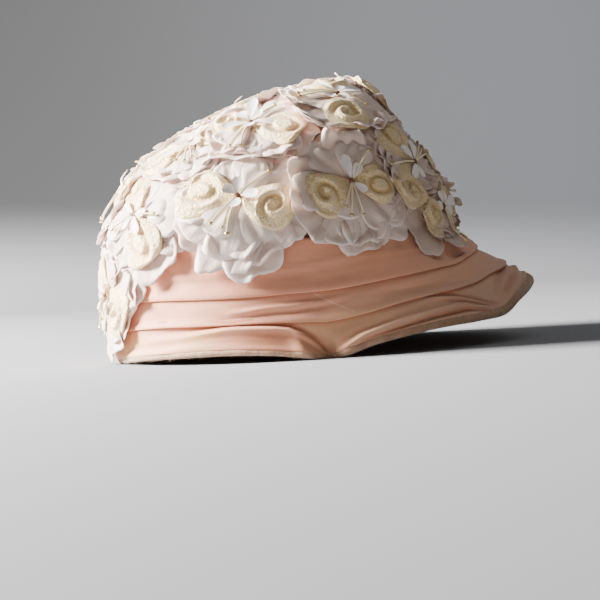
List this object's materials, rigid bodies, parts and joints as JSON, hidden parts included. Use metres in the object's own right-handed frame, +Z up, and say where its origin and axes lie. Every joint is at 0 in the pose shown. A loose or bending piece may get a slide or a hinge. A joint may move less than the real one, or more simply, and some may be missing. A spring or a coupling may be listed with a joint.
{
  "type": "bonnet",
  "caption": "Close-fitting hat with a crown sewn over with organza and velvet petals, above a pleated chiffon drape that flares into a short brim.",
  "frame": {"origin": "middle of the bounding box on the floor plane that the rim rests on", "axes": "+X towards the front of the brim, +Y towards the wearer's left, +Z up"},
  "size_m": [0.2622, 0.199, 0.1618],
  "materials": {
    "net": "open cotton net, matt",
    "chiffon": "draped chiffon, soft sheen",
    "edge_velvet": "velvet pile",
    "organza": "stiff organza, slight sheen",
    "petal_velvet": "velvet pile"
  },
  "bodies": {
    "root": {"crown_net": "net", "drape": "chiffon", "flower_back_centre": "organza", "flower_back_left": "organza", "flower_front_left": "organza", "flower_front_right": "organza", "flower_left_back": "organza", "flower_left_front": "organza", "flower_left_middle": "organza", "flower_nape": "organza", "flower_right_back": "organza", "flower_right_front": "organza", "flower_right_middle": "organza", "flower_slope_back": "organza", "flower_slope_front": "organza", "flower_slope_front_left": "organza", "flower_slope_front_right": "organza", "flower_slope_left": "organza", "flower_slope_left_back": "organza", "flower_slope_right": "organza", "flower_slope_right_back": "organza", "flower_top_back": "organza", "flower_top_front": "organza", "flower_top_left": "organza", "flower_top_right": "organza", "velvet_edge": "edge_velvet", "velvet_pair_back_centre": "petal_velvet", "velvet_pair_back_left": "petal_velvet", "velvet_pair_front_left": "petal_velvet", "velvet_pair_front_right": "petal_velvet", "velvet_pair_left_back": "petal_velvet", "velvet_pair_left_front": "petal_velvet", "velvet_pair_left_middle": "petal_velvet", "velvet_pair_nape": "petal_velvet", "velvet_pair_right_back": "petal_velvet", "velvet_pair_right_front": "petal_velvet", "velvet_pair_right_middle": "petal_velvet", "velvet_pair_slope_back": "petal_velvet", "velvet_pair_slope_front": "petal_velvet", "velvet_pair_slope_front_left": "petal_velvet", "velvet_pair_slope_front_right": "petal_velvet", "velvet_pair_slope_left": "petal_velvet", "velvet_pair_slope_left_back": "petal_velvet", "velvet_pair_slope_right": "petal_velvet", "velvet_pair_slope_right_back": "petal_velvet", "velvet_pair_top_back": "petal_velvet", "velvet_pair_top_front": "petal_velvet", "velvet_pair_top_left": "petal_velvet", "velvet_pair_top_right": "petal_velvet"}
  },
  "joints": []
}
